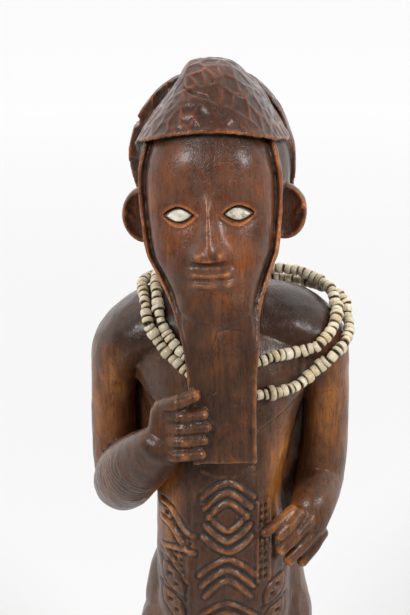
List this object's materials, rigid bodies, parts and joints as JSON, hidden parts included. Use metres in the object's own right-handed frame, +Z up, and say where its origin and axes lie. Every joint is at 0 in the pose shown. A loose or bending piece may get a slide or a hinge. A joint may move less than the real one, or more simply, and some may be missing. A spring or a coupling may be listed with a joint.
{
  "type": "ancestor figure",
  "caption": "Standing carved wooden ancestor figure with a cap-like coiffure, one hand holding a long flat beard, scarified trunk, inlaid eyes, strands of beads and a low base.",
  "frame": {"origin": "on the flat underside of the base, under the neck", "axes": "+Z up, the figure faces -Y, its left hand is on the +X side"},
  "size_m": [0.0776, 0.0636, 0.239],
  "materials": {
    "wood": "dark glossy patina, red-brown where it is worn",
    "eye_inlay": "pale polished bone or ceramic",
    "beads": "dulled grey-white glass beads"
  },
  "bodies": {
    "root": {"figure": "wood", "right_eye_inlay": "eye_inlay", "left_eye_inlay": "eye_inlay", "upper_bead_strand": "beads", "lower_bead_strand": "beads"}
  },
  "joints": []
}
